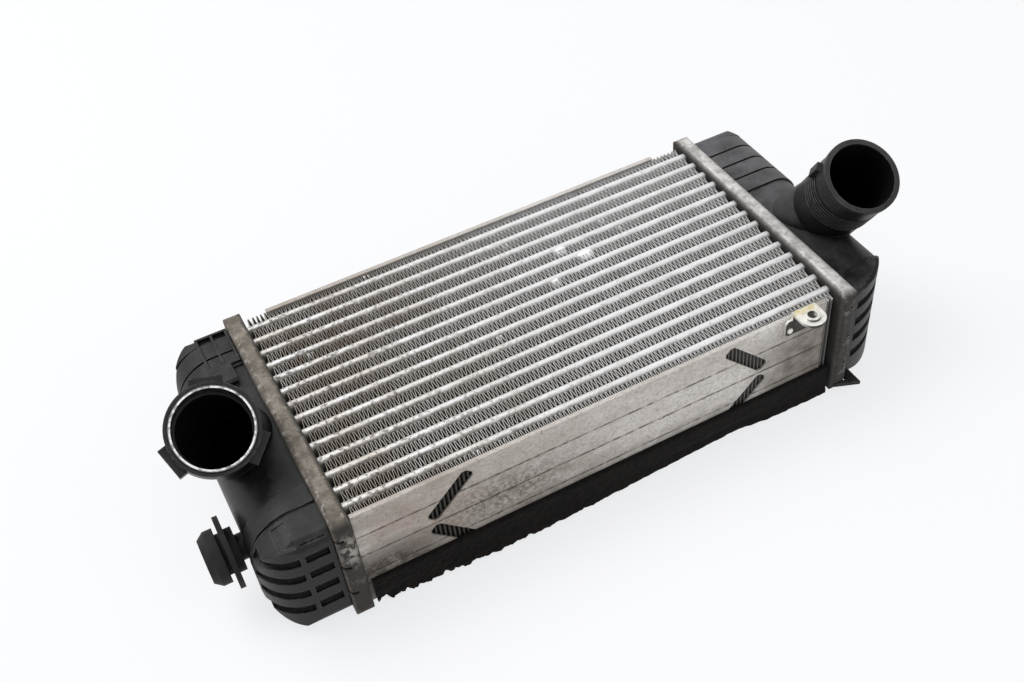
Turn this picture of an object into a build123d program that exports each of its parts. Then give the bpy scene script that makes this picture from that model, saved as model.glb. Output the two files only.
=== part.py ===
from build123d import *
import math
import os

# Charge-air cooler with a brazed tube-and-fin core and two moulded tanks crimped to header plates.
# X runs along the charge-air tubes, Y across the stack of tubes, Z through the depth of the core.
# The origin is the middle of the stack in plan, on the plane that the header plates stand on.

# Core
tube_count = 14
tube_pitch = 12.9
tube_height = 5.5           # across the stack
tube_nose = 1.2             # cut corners at both edges of a tube
tube_wall = 0.9
channel_count = 2           # passages inside one extruded tube
core_depth = 82.4           # of the tubes
core_length = 339.0         # between the inner faces of the header plates
fin_fold = 22.0             # from one fold of a fin strip to the next
fin_sheet = 0.6             # measured across the stack
fin_inset = 1.2             # of the fin strips behind the noses of the tubes, on both faces
fin_end_gap = 1.5           # from the last fold to the header plate
tube_projection = 3.4       # of each tube end past the inner face of its header plate

# Side plates
side_plate_thickness = 1.2
front_plate_gaps = (0.5, 8.5)   # from the ends of the plate to the header plates
back_plate_gaps = (16.4, 22.0)
plate_flange = 3.0          # of the flanges turned in over the outer fin strip
flange_gap = 0.2
plate_lift = 3.4            # of the slots and swaged lines above the middle of the core
chevron_inset = 49.7        # from the end of the plate to the inner corners of a chevron
chevron_arm = 40.0
chevron_slot = 9.2
chevron_corner = 2.2
chevron_angle = 45.0
chevron_gap = 1.6           # between the inner corners of the two arms
swage_width = 1.2
swage_depth = 0.4
swage_pitch = 18.0

# Header plates
header_thickness = 1.8
header_wall = 1.2
header_overhang = 4.4       # past the core, through its depth
header_side_overhang = 5.8  # past the side plates
header_corner = 8.0
pocket_corner = 4.0         # chamfer of the channel that holds the foot
bead_radius = 3.8
crimp_thickness = 1.6
braze_gap = 0.15
slot_corner = 0.9           # chamfer of a tube slot
crimp_gap = 0.3
tab_notch = 2.6
tab_depth = 5.0
tab_pitch = 25.5            # crimp tabs along each short side of a header plate
tab_first = 26.0            # from the lower edge of the header plate to the first notch
tab_notches = 3

# Gaskets
gasket_thickness = 2.2

# Tanks, both
foot_thickness = 6.2
tank_wall = 3.0
lip_gap = 0.4               # between the crimped lip and the tank wall
mouth_gap = 0.3             # between the tubes and the mouth of the foot
mouth_corner = 3.0
wall_side_inset = 6.7       # from the side of a header plate to the smooth wall of its tank
wall_depth_inset = 6.1      # the same, through the depth of the core
tank_edge = 7.0             # edge along the tubes, between the end wall and the upper wall
front_end_width = 21.8      # of the ribbed end block at the front
back_end_width = 8.0
band_pitch = 15.7
band_proud = 1.5
band_groove = 1.7
end_proud = 2.4
pocket_rows = 5
pocket_pitch = 15.0
pocket_height = 7.0
post_width = 3.0

# Left tank
left_reach = 55.7           # from the inner face of the header plate to the outer wall
left_roll = 28.0            # radius between the upper and the outer wall
left_front_corner = 24.0    # vertical corners, seen from above
left_back_corner = 25.0
left_front_bands = 1
left_back_bands = 2
left_root = (30.7, 10.5, 15.0)      # from the header plate, across the stack, above mid-depth
left_elbow = (48.3, -15.0, 66.0)
left_tilt = 36.87           # of the mouth, from straight up towards the front
left_rise = 15.0            # from the elbow to the rim
left_bore = 21.8
left_neck = 24.3
left_collar = 27.6
lug_count = 3
lug_width = 20.0
lug_reach = 31.3
lug_length = 8.0
lug_setback = 6.0
lug_turn = 104.0

# Right tank
right_reach = 55.3
right_roll = 19.0
right_front_corner = 46.5
right_back_corner = 24.0
right_front_bands = 0
right_back_bands = 4
right_root = (28.0, -5.2, 16.4)
right_elbow = (45.5, -20.6, 40.5)
right_tilt = 32.7
right_rise = 60.0
right_bore = 22.2
right_neck = 24.3
right_land = 25.0           # radius of the plain land that a hose grips
right_lip = 25.8
right_lip_length = 4.0
right_land_length = 11.0
neck_taper = 2.0
stop_turn = 135.0
stop_size = 6.0
stop_proud = 3.0
ear_proud = 7.0             # of the tip of the lower ear past the header plate
ear_far = 18.8
ear_near = 2.5
ear_thickness = 3.0

# Ring in the left port
sleeve_wall = 1.8
sleeve_bore = 23.4
sleeve_length = 14.0
sleeve_proud = 1.0
sleeve_gap = 0.15

# Rubber bush on the pin of the left tank
pin_radius = 8.3
pin_inset = 46.3            # from the front wall of the tank
bush_wall_gap = 4.7         # from the smooth outer wall to the bush
bush_seat_radius = 14.0
bush_seat = 4.6
bush_flange_radius = 23.1
bush_flange = 3.4
bush_groove_radius = 13.0
bush_groove = 2.4
bush_head_radius = 17.4
bush_head_nose = 13.7
bush_head = 5.8
bush_head_taper = 4.8
bush_gap = 0.2

# Eyelet bracket on the front side plate
bracket_thickness = 2.0
bracket_inset = 27.7        # from the header plate to the middle of the bracket
bracket_width = 27.3
bracket_leg = 18.0
bracket_shoulder = 5.4      # from the eye down to the wide part of the leg
bracket_rise = 6.3          # of the eye above the fin strips
eye_radius = 8.8
eye_hole = 3.2
eye_setout = 9.4            # from the side plate to the middle of the eye
eye_collar = 5.3
eye_collar_height = 1.5

# Foam strip along the lower front edge
foam_height = 26.0
foam_top = 3.2
foam_foot = 9.0
foam_lift = 0.4
foam_end_gap = 3.0

# Cable rest moulded on the left tank
rest_near = 12.8            # from the inner face of the header plate
rest_far = 34.5
rest_back = 3.3             # from the back wall of the tank
rest_front = 36.3
rest_wall = 1.6
rest_proud = 1.6
rest_block_shift = 7.0
rest_block_width = 16.0
rest_block_length = 17.0
rest_block_proud = 5.0

# Derived places
core_half = core_length / 2
header_half_depth = core_depth / 2 + header_overhang
mid_z = header_half_depth
core_low = mid_z - core_depth / 2
core_high = mid_z + core_depth / 2
fin_low = core_low + fin_inset
fin_high = core_high - fin_inset
fin_gap = tube_pitch - tube_height
stack_half = tube_count * tube_pitch / 2 + fin_gap / 2
side_half = stack_half + side_plate_thickness
header_half_width = side_half + header_side_overhang
foot_start = header_thickness + gasket_thickness
foot_end = foot_start + foot_thickness
header_depth = foot_end + crimp_gap + crimp_thickness
body_start = header_depth + lip_gap
pocket_half_width = header_half_width - header_wall
pocket_half_depth = header_half_depth - header_wall
foot_half_width = pocket_half_width - crimp_gap
foot_half_depth = pocket_half_depth - crimp_gap
foot_corner = pocket_corner - crimp_gap
tank_half_width = header_half_width - wall_side_inset
tank_half_depth = header_half_depth - wall_depth_inset
mouth_half_width = tank_half_width - tank_wall
mouth_half_depth = core_depth / 2 + mouth_gap
front_end = front_end_width - tank_half_width
back_end = tank_half_width - back_end_width
pin_y = pin_inset - tank_half_width
bracket_x = core_half - bracket_inset
plate_axis = mid_z + plate_lift
port_seat = mid_z + tank_half_depth


def span_box(x_low, x_high, y_low, y_high, z_low, z_high):
    size = Box(x_high - x_low, y_high - y_low, z_high - z_low)
    return Pos((x_low + x_high) / 2, (y_low + y_high) / 2, (z_low + z_high) / 2) * size


def rounded_block(x_low, x_high, half_width, half_depth, radius):
    """A block between two planes across X, with rounded corners seen along X."""
    face = Pos(0, mid_z) * RectangleRounded(2 * half_width, 2 * half_depth, radius)
    return Pos(x_low, 0, 0) * extrude(Plane.YZ * face, amount=x_high - x_low)


def chamfered_block(x_low, x_high, half_width, half_depth, corner):
    """A block between two planes across X, with cut corners seen along X."""
    face = Rectangle(2 * half_width, 2 * half_depth)
    face = Pos(0, mid_z) * chamfer(face.vertices(), corner)
    return Pos(x_low, 0, 0) * extrude(Plane.YZ * face, amount=x_high - x_low)


def tube_section():
    """Flat section with cut corners, in the plane across the tubes."""
    section = Rectangle(tube_height, core_depth)
    return chamfer(section.vertices(), tube_nose)


def row_place(index):
    return (index - (tube_count - 1) / 2) * tube_pitch


def charge_tube(row_y):
    """Extruded flat tube with cut corners and a row of passages."""
    half = core_half + tube_projection
    tube = extrude(Plane.YZ * (Pos(row_y, mid_z) * tube_section()), amount=half, both=True)
    flat = core_depth - 2 * tube_nose
    step = flat / channel_count
    passage = Rectangle(tube_height - 2 * tube_wall, step - tube_wall)
    places = [Pos(row_y, mid_z - flat / 2 + (k + 0.5) * step) for k in range(channel_count)]
    return tube - [extrude(Plane.YZ * (place * passage), amount=half + 1, both=True) for place in places]


def fin_strip(middle_y):
    """Strip folded to and fro between two tubes, brazed to both at its folds."""
    half = core_half - fin_end_gap
    folds = 2 * round(half / fin_fold)
    step = 2 * half / folds
    rise = (fin_gap - fin_sheet) / 2
    crests = [(-half + k * step, middle_y + (rise if k % 2 else -rise)) for k in range(folds + 1)]
    upper = [(x, y + fin_sheet / 2) for x, y in crests]
    lower = [(x, y - fin_sheet / 2) for x, y in reversed(crests)]
    outline = make_face(Polyline(*upper, *lower, close=True))
    return Pos(0, 0, fin_low) * extrude(outline, amount=fin_high - fin_low)


def chevron_slots(left_end, right_end):
    """Pairs of slanted slots whose inner corners nearly meet, so that the plate stretches with the core."""
    slots = []
    for side, end in ((-1, left_end), (1, right_end)):
        for way in (-1, 1):
            slot = Rectangle(chevron_arm, chevron_slot)
            slot = Pos(-side * chevron_arm / 2, way * chevron_slot / 2) * chamfer(slot.vertices(), chevron_corner)
            corner = Pos(end - side * chevron_inset, plate_axis + way * chevron_gap / 2)
            slots.append(corner * Rot(0, 0, -side * way * chevron_angle) * slot)
    return slots


def side_plate(side, gaps):
    """Channel over the outer fin strip, with chevron slots and three swaged lines."""
    left_gap, right_gap = gaps if side < 0 else reversed(gaps)
    left_end, right_end = left_gap - core_half, core_half - right_gap
    low = fin_low - flange_gap - side_plate_thickness
    high = fin_high + flange_gap + side_plate_thickness
    face = Pos((left_end + right_end) / 2, mid_z) * Rectangle(right_end - left_end, high - low)
    for slot in chevron_slots(left_end, right_end):
        face -= slot
    plate = extrude(Plane.XZ * face, amount=side_plate_thickness)
    for edge in (low, high - side_plate_thickness):
        plate += span_box(left_end, right_end, -side_plate_thickness, plate_flange - side_plate_thickness,
                          edge, edge + side_plate_thickness)
    for k in (-1, 0, 1):
        middle = plate_axis + k * swage_pitch
        plate -= span_box(left_end - 1, right_end + 1, -side_plate_thickness - 1,
                          swage_depth - side_plate_thickness, middle - swage_width / 2, middle + swage_width / 2)
    plate = Pos(0, -stack_half, 0) * plate
    return plate if side < 0 else plate.rotate(Axis.Z, 180)


def header_blank():
    """Outer form of a header plate, with rolled edges along both of its beads."""
    middle = core_half + header_depth / 2
    side = Pos(middle, mid_z) * RectangleRounded(header_depth, 2 * header_half_depth, bead_radius)
    plan = Pos(middle, 0) * RectangleRounded(header_depth, 2 * header_half_width, bead_radius)
    across = extrude(Plane.XZ * side, amount=header_half_width + 1, both=True)
    ends = rounded_block(core_half, core_half + header_depth, header_half_width, header_half_depth, header_corner)
    return across & extrude(plan, amount=2 * header_half_depth) & ends


def header_plate():
    """Tray with a slot for each tube and a rim that is crimped over the foot of the tank."""
    tray = header_blank()
    tray -= chamfered_block(core_half + header_thickness, core_half + foot_end + crimp_gap,
                            pocket_half_width, pocket_half_depth, pocket_corner)
    tray -= rounded_block(core_half + foot_end, core_half + header_depth + 1,
                          tank_half_width + lip_gap, tank_half_depth + lip_gap, tank_edge + lip_gap)
    slot = Rectangle(tube_height + 2 * braze_gap, core_depth + 2 * braze_gap)
    slot = chamfer(slot.vertices(), slot_corner)
    for k in range(tube_count):
        opening = extrude(Plane.YZ * (Pos(row_place(k), mid_z) * slot), amount=header_thickness + 2)
        tray -= Pos(core_half - 1, 0, 0) * opening
    for k in range(tab_notches):
        notch_z = tab_first + k * tab_pitch
        tray -= span_box(core_half + header_depth - tab_depth, core_half + header_depth + 1,
                         -header_half_width - 1, header_half_width + 1,
                         notch_z - tab_notch / 2, notch_z + tab_notch / 2)
    return tray


def tank_gasket():
    """Seal in the channel of the header plate, under the foot of the tank."""
    ring = chamfered_block(core_half + header_thickness, core_half + foot_start,
                           foot_half_width, foot_half_depth, foot_corner)
    return ring - chamfered_block(core_half + header_thickness - 1, core_half + foot_start + 1,
                                  mouth_half_width, mouth_half_depth, mouth_corner)


def tank_skin(reach, roll, corners, grow, lift, start):
    """Solid of the tank, rounded in its side, plan and end views and grown by two offsets."""
    far = core_half + reach + grow
    half_width, half_depth = tank_half_width + grow, tank_half_depth + lift
    side = Pos(far / 2, mid_z) * Rectangle(far, 2 * half_depth)
    side = fillet(side.vertices().group_by(Axis.X)[-1], roll + lift)
    plan = Pos(far / 2, 0) * Rectangle(far, 2 * half_width)
    for radius, place in zip(corners, (0, -1)):
        plan = fillet(plan.vertices().group_by(Axis.X)[-1].sort_by(Axis.Y)[place], radius + grow)
    across = extrude(Plane.XZ * side, amount=half_width + 1, both=True)
    upright = Pos(0, 0, mid_z - half_depth - 1) * extrude(plan, amount=2 * half_depth + 2)
    ends = rounded_block(core_half + start, far, half_width, half_depth, tank_edge + min(grow, lift))
    return across & upright & ends


def tank_bands(reach, roll, corners, front_count, back_count):
    """Stiffening bands beside the ribbed ends, wrapped round the upper, outer and lower walls."""
    proud = tank_skin(reach, roll, corners, band_proud, band_proud, body_start)
    middles = [front_end + (k + 0.5) * band_pitch for k in range(front_count)]
    middles += [back_end - (k + 0.5) * band_pitch for k in range(back_count)]
    half = (band_pitch - band_groove) / 2
    return [proud & span_box(core_half, core_half + 2 * reach, y - half, y + half, -core_depth, 2 * core_depth)
            for y in middles]


def end_block(reach, roll, corners, edge):
    """Ribbed end of a tank: a thicker skin with rows of pockets on its face and round its corner."""
    side = 1 if edge > 0 else -1
    corner = corners[1] if edge > 0 else corners[0]
    far = core_half + 2 * reach
    skin = tank_skin(reach, roll, corners, end_proud, 0, body_start)
    near_y, far_y = sorted((edge + side * band_groove / 2, side * 2 * tank_half_width))
    block = skin & span_box(core_half, far, near_y, far_y, -core_depth, 2 * core_depth)
    inner = tank_skin(reach, roll, corners, 0, 0, 0)
    first_x = core_half + body_start + post_width
    post_x = max(core_half + reach - corner, first_x)
    outside = tank_half_width + 2 * end_proud
    face_y = sorted((side * tank_half_width, side * outside))
    corner_y = sorted((edge + side * (band_groove / 2 + post_width), side * outside))
    for row in range(pocket_rows):
        middle = fin_high - row * pocket_pitch
        low, high = middle - pocket_height / 2, middle + pocket_height / 2
        if post_x - first_x > post_width:
            block -= span_box(first_x, post_x - post_width / 2, *face_y, low, high)
        if corner_y[1] - corner_y[0] > 2 * pocket_height:
            block -= span_box(post_x + post_width / 2, far, *corner_y, low, high) - inner
    return block


def route_point(place):
    return Vector(core_half + place[0], place[1], mid_z + place[2])


def mouth_plane(elbow, tilt):
    slant = math.radians(tilt)
    return Plane(origin=route_point(elbow), x_dir=(1, 0, 0), z_dir=(0, -math.sin(slant), math.cos(slant)))


def port_pipe(root, elbow, tilt, rise, radius):
    """Round bar along the mitred centre line of a port, from inside the tank to its rim."""
    mouth = mouth_plane(elbow, tilt)
    route = Polyline(route_point(root), mouth.origin, mouth.origin + mouth.z_dir * rise)
    section = Plane(origin=route @ 0, z_dir=route % 0) * Circle(radius)
    return sweep(section, path=route, transition=Transition.RIGHT)


def turned(plane, profile):
    """Solid turned about the port axis from (radius, height along the axis) points."""
    return plane * revolve(Plane.XZ * make_face(Polyline(*profile, close=True)), Axis.Z)


def tank_body(reach, roll, corners, front_count, back_count):
    """Foot, walls, bands and ribbed ends of a tank, still solid."""
    body = chamfered_block(core_half + foot_start, core_half + foot_end,
                           foot_half_width, foot_half_depth, foot_corner)
    body += tank_skin(reach, roll, corners, 0, 0, foot_start)
    body += tank_bands(reach, roll, corners, front_count, back_count)
    return body + [end_block(reach, roll, corners, edge) for edge in (front_end, back_end)]


def tank_hollow(reach, roll, corners):
    """Air space of a tank, with the wider mouth that the tube ends face."""
    space = tank_skin(reach, roll, corners, -tank_wall, -tank_wall, header_thickness)
    return space + chamfered_block(core_half + header_thickness, core_half + foot_end - tank_wall,
                                   mouth_half_width, mouth_half_depth, mouth_corner)


def cable_rest():
    """Two shallow pockets in a frame, with a raised block beside them, on the upper wall."""
    top = mid_z + tank_half_depth
    x_low, x_high = core_half + rest_near, core_half + rest_far
    y_low, y_high = tank_half_width - rest_front, tank_half_width - rest_back
    frame = span_box(x_low, x_high, y_low, y_high, top - tank_wall / 2, top + rest_proud + band_proud)
    cell = (x_high - x_low - 3 * rest_wall) / 2
    for k in range(2):
        low = x_low + rest_wall + k * (cell + rest_wall)
        frame -= span_box(low, low + cell, y_low + rest_wall, y_high - rest_wall, top, top + tank_wall * 2)
    block_x = x_low + rest_block_shift
    block = span_box(block_x, block_x + rest_block_width, y_low - rest_block_length, y_low,
                     top - tank_wall / 2, top + rest_block_proud)
    block = chamfer(block.edges().group_by(Axis.Z)[-1].filter_by(Axis.X), rest_block_proud / 3)
    return frame + block


def above_seat():
    """Space above the upper wall of the left tank, where the neck of its port begins."""
    return span_box(0, 2 * core_half, -core_half, core_half, port_seat, port_seat + core_half)


def left_tank():
    corners = (left_front_corner, left_back_corner)
    tank = tank_body(left_reach, left_roll, corners, left_front_bands, left_back_bands)
    tank += port_pipe(left_root, left_elbow, left_tilt, left_rise, left_neck) - above_seat()
    pin_length = bush_wall_gap + bush_seat + bush_flange + bush_groove + bush_head
    tank += Pos(core_half + left_reach + pin_length / 2 - tank_wall / 2, pin_y, mid_z) \
        * Rot(0, 90, 0) * Cylinder(pin_radius, pin_length + tank_wall)
    tank += cable_rest()
    tank -= tank_hollow(left_reach, left_roll, corners)
    return (tank - port_pipe(left_root, left_elbow, left_tilt, left_rise + 1, left_bore)).mirror(Plane.YZ)


def left_port_neck():
    """Slanted neck of the left port, with a lugged collar and a seat for the metal ring."""
    mouth = mouth_plane(left_elbow, left_tilt)
    neck = port_pipe(left_root, left_elbow, left_tilt, left_rise, left_neck) & above_seat()
    neck += mouth * Pos(0, 0, left_rise / 2) * Cylinder(left_collar, left_rise)
    for k in range(lug_count):
        lug = span_box(left_neck, lug_reach, -lug_width / 2, lug_width / 2,
                       left_rise - lug_setback - lug_length, left_rise - lug_setback)
        neck += mouth * Rot(0, 0, lug_turn + k * 360 / lug_count) * lug
    neck -= port_pipe(left_root, left_elbow, left_tilt, left_rise + 1, left_bore)
    seat = mouth * Pos(0, 0, left_rise + sleeve_proud - sleeve_length / 2) \
        * Cylinder(sleeve_bore + sleeve_wall + sleeve_gap, sleeve_length + 2 * sleeve_gap)
    return (neck - seat).mirror(Plane.YZ)


def lower_ear():
    """Flat ear at the lower front corner of the right tank, clear of the header plate."""
    clear = -header_half_width - crimp_gap
    wall = -tank_half_width + tank_wall / 2
    tip = -header_half_width - ear_proud
    outline = Polyline((body_start, wall), (ear_far, wall), (ear_far, tip), (ear_near, clear),
                       (body_start, clear), close=True)
    return Pos(core_half, 0, fin_low) * extrude(make_face(outline), amount=ear_thickness)


def right_tank():
    corners = (right_front_corner, right_back_corner)
    mouth = mouth_plane(right_elbow, right_tilt)
    land = right_rise - right_lip_length
    neck_top = land - right_land_length
    profile = [(0, neck_top - neck_taper), (right_neck, neck_top - neck_taper), (right_land, neck_top),
               (right_land, land), (right_lip, land + right_lip - right_land), (right_lip, right_rise),
               (0, right_rise)]
    stop = span_box(right_bore, right_land + stop_proud, -stop_size / 2, stop_size / 2,
                    neck_top - stop_size, neck_top + stop_size)
    tank = tank_body(right_reach, right_roll, corners, right_front_bands, right_back_bands)
    tank += port_pipe(right_root, right_elbow, right_tilt, neck_top, right_neck)
    tank += turned(mouth, profile)
    tank += mouth * Rot(0, 0, stop_turn) * stop
    tank += lower_ear()
    tank -= tank_hollow(right_reach, right_roll, corners)
    return tank - port_pipe(right_root, right_elbow, right_tilt, right_rise + 1, right_bore)


def port_sleeve():
    """Metal ring pressed into the mouth of the left port."""
    ring = Cylinder(sleeve_bore + sleeve_wall, sleeve_length) - Cylinder(sleeve_bore, sleeve_length + 1)
    ring = mouth_plane(left_elbow, left_tilt) * Pos(0, 0, left_rise + sleeve_proud - sleeve_length / 2) * ring
    return ring.mirror(Plane.YZ)


def mount_bush():
    """Rubber bush turned about the pin: seat, wide flange, groove and tapered head."""
    steps = [(bush_seat_radius, bush_seat), (bush_flange_radius, bush_flange),
             (bush_groove_radius, bush_groove), (bush_head_radius, bush_head)]
    inner = pin_radius + bush_gap
    profile = [(inner, 0)]
    reach = 0.0
    for radius, length in steps:
        profile += [(radius, reach), (radius, reach + length)]
        reach += length
    end = reach + bush_head_taper
    profile += [(bush_head_nose, end), (0, end), (0, reach + bush_gap), (inner, reach + bush_gap)]
    face = make_face(Polyline(*profile, close=True))
    bush = Rot(0, 90, 0) * revolve(Plane.XZ * face, Axis.Z)
    bush = Pos(core_half + left_reach + bush_wall_gap, pin_y, mid_z) * bush
    return bush.mirror(Plane.YZ)


def eyelet_bracket():
    """Plated strap: a leg on the side plate, a narrower neck, a round eye turned outwards and its collar."""
    face_y = -side_half
    eye_z = fin_high + bracket_rise
    eye_y = face_y - eye_setout
    leg = span_box(bracket_x - bracket_width / 2, bracket_x + bracket_width / 2,
                   face_y - bracket_thickness, face_y, eye_z - bracket_leg, eye_z - bracket_shoulder)
    leg = chamfer(leg.edges().filter_by(Axis.Y), bracket_thickness)
    neck = span_box(bracket_x - eye_radius, bracket_x + eye_radius,
                    face_y - bracket_thickness, face_y, eye_z - bracket_leg / 2, eye_z)
    eye = Pos(bracket_x, eye_y, eye_z - bracket_thickness / 2) * Cylinder(eye_radius, bracket_thickness)
    collar = Pos(bracket_x, eye_y, eye_z + eye_collar_height / 2) * Cylinder(eye_collar, eye_collar_height)
    tongue = span_box(bracket_x - eye_radius, bracket_x + eye_radius, eye_y, face_y,
                      eye_z - bracket_thickness, eye_z)
    strap = leg + neck + tongue + eye + collar
    return strap - Pos(bracket_x, eye_y, eye_z) * Cylinder(eye_hole, 6 * bracket_thickness)


def foam_strip():
    """Soft seal strip glued to the lower front edge, splayed at its foot."""
    base = foam_lift
    top = foam_lift + foam_height
    outline = Polyline((0, base), (-foam_foot, base), (-foam_top, (base + top) / 2), (-foam_top, top), (0, top),
                       close=True)
    half = core_half - foam_end_gap
    strip = extrude(Plane.YZ * make_face(outline), amount=half, both=True)
    return Pos(0, -side_half, 0) * strip


def centred(nodes):
    """Moves the whole cooler so that its outline in plan has its middle at the origin."""
    boxes = [solid.bounding_box() for solid in nodes.values()]
    middle_x = (min(box.min.X for box in boxes) + max(box.max.X for box in boxes)) / 2
    middle_y = (min(box.min.Y for box in boxes) + max(box.max.Y for box in boxes)) / 2
    return {name: Pos(-middle_x, -middle_y, 0) * solid for name, solid in nodes.items()}


def build():
    nodes = {}
    for k in range(tube_count):
        nodes[f"charge_tube_{k + 1:02d}"] = charge_tube(row_place(k))
    for k in range(tube_count + 1):
        nodes[f"air_fin_{k + 1:02d}"] = fin_strip(row_place(k) - tube_pitch / 2)
    nodes["side_plate_front"] = side_plate(-1, front_plate_gaps)
    nodes["side_plate_back"] = side_plate(1, back_plate_gaps)
    nodes["header_plate_right"] = header_plate()
    nodes["header_plate_left"] = header_plate().mirror(Plane.YZ)
    nodes["tank_gasket_right"] = tank_gasket()
    nodes["tank_gasket_left"] = tank_gasket().mirror(Plane.YZ)
    nodes["left_tank"] = left_tank()
    nodes["left_port_neck"] = left_port_neck()
    nodes["right_tank"] = right_tank()
    nodes["port_sleeve"] = port_sleeve()
    nodes["mount_bush"] = mount_bush()
    nodes["eyelet_bracket"] = eyelet_bracket()
    nodes["foam_strip"] = foam_strip()
    return centred(nodes)


os.makedirs("parts", exist_ok=True)
for name, solid in build().items():
    export_step(solid, f"parts/{name}.step")
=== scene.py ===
import math

import bmesh
import bpy
from mathutils import Matrix, Vector, noise


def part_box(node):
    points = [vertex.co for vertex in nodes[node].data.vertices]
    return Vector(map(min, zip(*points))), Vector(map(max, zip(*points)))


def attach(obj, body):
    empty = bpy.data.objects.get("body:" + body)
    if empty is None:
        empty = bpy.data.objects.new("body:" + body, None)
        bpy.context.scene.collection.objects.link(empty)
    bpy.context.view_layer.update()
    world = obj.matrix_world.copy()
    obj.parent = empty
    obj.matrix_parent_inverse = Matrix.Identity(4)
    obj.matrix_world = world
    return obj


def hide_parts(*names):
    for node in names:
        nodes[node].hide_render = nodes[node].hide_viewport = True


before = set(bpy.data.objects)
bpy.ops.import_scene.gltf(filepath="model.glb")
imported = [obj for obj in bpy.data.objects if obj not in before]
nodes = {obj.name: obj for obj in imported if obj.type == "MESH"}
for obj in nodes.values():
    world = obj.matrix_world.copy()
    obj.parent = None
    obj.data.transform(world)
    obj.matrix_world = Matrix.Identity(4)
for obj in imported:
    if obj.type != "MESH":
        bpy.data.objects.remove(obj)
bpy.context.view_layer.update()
scene = bpy.context.scene
mm = 0.001
print("frame loaded,", len(nodes), "nodes")

tubeNames = sorted(name for name in nodes if name.startswith("charge_tube"))
finNames = sorted(name for name in nodes if name.startswith("air_fin"))


def linearColour(hexText):
    # sRGB hex to the linear values that the shaders take
    parts = [int(hexText[k:k + 2], 16) / 255 for k in (0, 2, 4)]
    return [c / 12.92 if c <= 0.04045 else ((c + 0.055) / 1.055) ** 2.4 for c in parts] + [1.0]


def addNode(tree, kind, settings=None, inputs=None):
    # settings are the node's own; an input takes a value or the socket that feeds it
    node = tree.nodes.new(kind)
    for name, value in (settings or {}).items():
        setattr(node, name, value)
    for name, value in (inputs or {}).items():
        if isinstance(value, bpy.types.NodeSocket):
            tree.links.new(value, node.inputs[name])
        else:
            node.inputs[name].default_value = value
    return node


# A finish is a base colour with layers over it. Each layer has a colour, the size of its pattern in mm,
# where the pattern starts to show and is full, how much it covers, and the regions that it keeps to.
shading = {"bevelSamples": 4, "creviceSamples": 6, "detail": 4, "harshness": 0.6,
           "spotRim": 1.0, "spotFull": 0.3}     # shares of a spot's size


def fadedMask(tree, source, none, full):
    # 0 where the source is at none, 1 where it is at full
    return addNode(tree, "ShaderNodeMapRange", {"clamp": True},
                   {"Value": source, "From Min": none, "From Max": full}).outputs["Result"]


def regionMask(tree, place, bevelled, region):
    # crevices, marks left on the mesh, a round spot, or else the place along an axis,
    # the way that a face looks, and how far rounding turns it at an edge
    kind = region["by"]
    if kind == "crevice":
        source = addNode(tree, "ShaderNodeAmbientOcclusion", {"samples": shading["creviceSamples"]},
                         {"Distance": region["reach"] * mm}).outputs["AO"]
    elif kind == "mark":
        source = addNode(tree, "ShaderNodeAttribute", {"attribute_name": region["name"]}).outputs["Fac"]
    elif kind == "spot":
        away = addNode(tree, "ShaderNodeVectorMath", {"operation": "SUBTRACT"},
                       {0: place, 1: [part * mm for part in region["at"]]}).outputs["Vector"]
        away = addNode(tree, "ShaderNodeVectorMath", {"operation": "DIVIDE"},
                       {0: away, 1: [part * mm for part in region["size"]]}).outputs["Vector"]
        source = addNode(tree, "ShaderNodeVectorMath", {"operation": "LENGTH"}, {0: away}).outputs["Value"]
    else:
        first = place if kind == "place" else addNode(tree, "ShaderNodeNewGeometry").outputs["Normal"]
        second = bevelled if kind == "edge" else region["axis"]
        source = addNode(tree, "ShaderNodeVectorMath", {"operation": "DOT_PRODUCT"},
                         {0: first, 1: second}).outputs["Value"]
    return fadedMask(tree, source, region.get("none", shading["spotRim"]),
                     region.get("full", shading["spotFull"]))


def patternMask(tree, place, layer):
    moved = addNode(tree, "ShaderNodeMapping", {},
                    {"Vector": place, "Location": layer.get("shift", (0, 0, 0)),
                     "Scale": layer.get("stretch", (1, 1, 1))}).outputs["Vector"]
    source = addNode(tree, "ShaderNodeTexNoise", {},
                     {"Vector": moved, "Scale": 1 / (layer["size"] * mm), "Roughness": shading["harshness"],
                      "Detail": layer.get("detail", shading["detail"])}).outputs["Fac"]
    return fadedMask(tree, source, layer["none"], layer["full"])


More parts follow.
